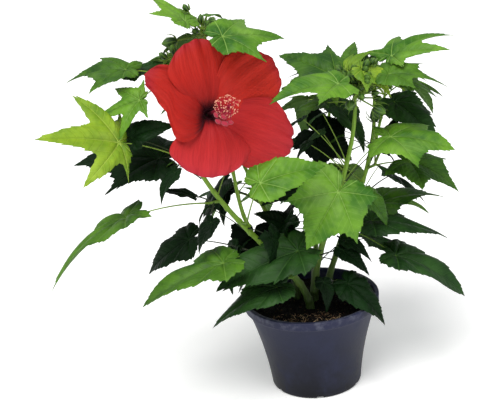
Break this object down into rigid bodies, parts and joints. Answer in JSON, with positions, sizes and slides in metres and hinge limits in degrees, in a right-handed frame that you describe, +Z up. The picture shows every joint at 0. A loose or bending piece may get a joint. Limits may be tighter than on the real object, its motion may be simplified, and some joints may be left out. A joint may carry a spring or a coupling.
{
  "type": "potted hibiscus shrub",
  "caption": "Hardy hibiscus shrub in a nursery pot: lobed leaves, flower buds and a broad open bloom on canes that fan out of the compost.",
  "frame": {"origin": "centre of the pot's flat underside", "axes": "+Z up, -Y towards the side that the bloom faces, +X to the right of that side"},
  "size_m": [0.6711, 0.4191, 0.6593],
  "materials": {
    "pot": "satin, dark blue-grey",
    "compost": "rough and crumbly",
    "stems": "smooth green bark",
    "leaves": "soft sheen",
    "petals": "silky"
  },
  "bodies": {
    "root": {"pot": "pot", "soil": "compost", "left_cane": "stems", "inner_bough": "stems", "middle_cane": "stems", "right_cane": "stems", "back_cane": "stems", "back_left_cane": "stems", "back_right_cane": "stems", "bloom": "petals", "leaves_summit": "leaves", "leaves_top_left": "leaves", "leaves_star": "leaves", "leaves_far_left": "leaves", "leaves_under_bloom": "leaves", "leaves_low_left": "leaves", "leaves_base_left": "leaves", "leaves_low_front": "leaves", "leaves_front": "leaves", "leaves_middle_top": "leaves", "leaves_right_top": "leaves", "leaves_right": "leaves", "leaves_mid_right": "leaves", "leaves_rim": "leaves", "leaves_back_top": "leaves", "leaves_dark": "leaves", "leaves_back": "leaves", "leaves_back_left_top": "leaves", "leaves_back_left": "leaves", "leaves_back_right_top": "leaves", "leaves_back_right": "leaves"}
  },
  "joints": []
}
